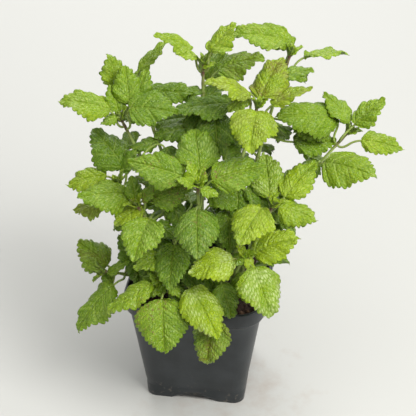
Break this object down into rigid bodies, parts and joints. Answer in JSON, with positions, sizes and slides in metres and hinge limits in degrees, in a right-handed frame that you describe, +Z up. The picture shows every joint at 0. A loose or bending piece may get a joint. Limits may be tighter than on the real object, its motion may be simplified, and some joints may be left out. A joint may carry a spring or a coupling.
{
  "type": "potted lemon balm",
  "caption": "Bushy lemon balm herb with toothed, wrinkled leaves on upright shoots, rooted in soil in a square plastic nursery pot.",
  "frame": {"origin": "middle of the bottom of the whole object's box, on the surface it stands on; the pot's axis is 19.6 mm towards -X and 6.6 mm towards +Y from it", "axes": "+Z up; +X and +Y square to two sides of the pot, -Y its front side"},
  "size_m": [0.2312, 0.1446, 0.2683],
  "materials": {
    "pot": "moulded black polypropylene, satin",
    "soil": "moist peat potting mix, matt and crumbly",
    "stem": "green herb stem with a purple-brown flush, satin",
    "leaf": "wrinkled green leaf, satin with small glossy highlights"
  },
  "bodies": {
    "root": {"pot": "pot", "soil": "soil", "stem_a": "stem", "stem_b": "stem", "stem_c": "stem", "stem_d": "stem", "stem_e": "stem", "stem_f": "stem", "stem_h": "stem", "stem_i": "stem", "stem_k": "stem", "stem_l": "stem", "stem_m": "stem", "stem_o": "stem", "stem_p": "stem", "leaf_a1": "leaf", "leaf_a2": "leaf", "leaf_a3": "leaf", "leaf_a4": "leaf", "leaf_b1": "leaf", "leaf_b2": "leaf", "leaf_b3": "leaf", "leaf_b4": "leaf", "leaf_b5": "leaf", "leaf_c1": "leaf", "leaf_c2": "leaf", "leaf_c3": "leaf", "leaf_d1": "leaf", "leaf_d2": "leaf", "leaf_d3": "leaf", "leaf_d4": "leaf", "leaf_e1": "leaf", "leaf_e2": "leaf", "leaf_e3": "leaf", "leaf_e4": "leaf", "leaf_f1": "leaf", "leaf_f2": "leaf", "leaf_f3": "leaf", "leaf_f4": "leaf", "leaf_f5": "leaf", "leaf_h1": "leaf", "leaf_h2": "leaf", "leaf_h3": "leaf", "leaf_h4": "leaf", "leaf_i1": "leaf", "leaf_i2": "leaf", "leaf_k1": "leaf", "leaf_k2": "leaf", "leaf_k3": "leaf", "leaf_l1": "leaf", "leaf_l2": "leaf", "leaf_l3": "leaf", "leaf_m1": "leaf", "leaf_m2": "leaf", "leaf_m3": "leaf", "leaf_m4": "leaf", "leaf_o1": "leaf", "leaf_o2": "leaf", "leaf_p1": "leaf", "leaf_p2": "leaf"}
  },
  "joints": []
}
